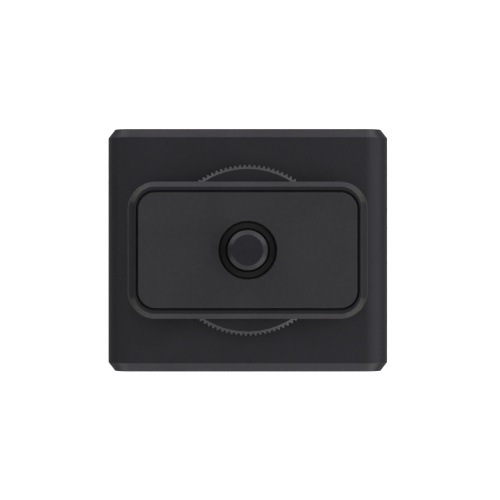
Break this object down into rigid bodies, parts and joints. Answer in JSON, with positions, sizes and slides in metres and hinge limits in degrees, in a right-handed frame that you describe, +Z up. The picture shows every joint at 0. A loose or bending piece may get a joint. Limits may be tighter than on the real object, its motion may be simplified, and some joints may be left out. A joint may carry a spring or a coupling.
{
  "type": "action camera",
  "caption": "Cube-shaped action camera with a padded thumbscrew platform, knurled wheel, round front lens, rear display, side door and push buttons",
  "frame": {"origin": "on the ground plane under the centre of the foot pad, which is also the centre of the overall width and depth", "axes": "+Z up along the camera screw, -Y out of the lens, +Y out of the display, +X to the side with the buttons"},
  "size_m": [0.047, 0.0406, 0.0593],
  "materials": {
    "anodised": "dark grey anodised, satin, bead blasted",
    "anodised_dark": "near-black anodised, satin, turned",
    "rubber": "matte charcoal rubber",
    "silicone": "matte dark silicone",
    "black_plastic": "matte black moulded plastic",
    "acetal": "smooth black acetal",
    "steel": "dark oxide steel",
    "brass": "turned brass",
    "glass": "coated optical glass",
    "cover_glass": "dark tinted cover glass",
    "circuit": "green solder mask",
    "chip": "black moulded component",
    "cell": "grey battery sleeve",
    "light_pipe": "clear frosted light pipe"
  },
  "bodies": {
    "camera": {"base_screw_1": "steel", "base_screw_2": "steel", "battery_pack": "cell", "bearing_bush": "brass", "button_board": "circuit", "card_slot": "steel", "chassis_frame": "black_plastic", "display_glass": "cover_glass", "display_module": "chip", "door_hinge_pin": "steel", "foot_pad": "rubber", "front_cover": "black_plastic", "front_screw_1": "steel", "front_screw_2": "steel", "front_screw_3": "steel", "front_screw_4": "steel", "front_seal": "silicone", "housing_sleeve": "anodised", "image_sensor": "chip", "lens_barrel": "black_plastic", "lens_front_element": "glass", "lens_rear_element": "glass", "lens_ring": "anodised_dark", "lens_window": "cover_glass", "main_board": "circuit", "memory_card": "black_plastic", "microphone": "brass", "platform_bridge": "anodised", "platform_pad": "rubber", "platform_screw_1": "steel", "platform_screw_2": "steel", "platform_screw_3": "steel", "platform_screw_4": "steel", "power_seal": "silicone", "power_switch": "steel", "processor_shield": "steel", "rear_cover": "black_plastic", "rear_screw_1": "steel", "rear_screw_2": "steel", "rear_screw_3": "steel", "rear_screw_4": "steel", "rear_seal": "silicone", "screw_bush": "acetal", "sensor_board": "circuit", "shutter_seal": "silicone", "shutter_switch": "steel", "speaker": "chip", "status_light": "light_pipe", "thrust_washer": "acetal", "tripod_socket": "steel", "usb_port": "steel"},
    "wheel": {"thumb_wheel": "anodised_dark", "camera_screw": "steel", "retaining_clip": "steel"},
    "door": {"side_door": "anodised", "door_seal": "silicone"},
    "latch": {"latch_thumb": "anodised_dark", "latch_bolt": "steel"},
    "shutter": {"shutter_button": "anodised_dark"},
    "power": {"power_button": "anodised_dark"}
  },
  "joints": [
    {"name": "wheel_turn", "type": "hinge", "parent": "camera", "child": "wheel", "pos_m": [0, 0, 0.0476], "axis": [0, 0, 1], "continuous": true},
    {"name": "door_swing", "type": "hinge", "parent": "camera", "child": "door", "pos_m": [-0.02215, 0.0142, 0.0224], "axis": [0, 0, -1], "range_deg": [0, 100]},
    {"name": "latch_slide", "type": "slide", "parent": "door", "child": "latch", "axis": [0, 0, 1], "range_m": [0, 0.0018]},
    {"name": "shutter_press", "type": "slide", "parent": "camera", "child": "shutter", "axis": [-1, 0, 0], "range_m": [0, 0.0005], "stiffness_N_per_m": 800, "springref_m": -0.0004},
    {"name": "power_press", "type": "slide", "parent": "camera", "child": "power", "axis": [-1, 0, 0], "range_m": [0, 0.0005], "stiffness_N_per_m": 800, "springref_m": -0.0004}
  ]
}
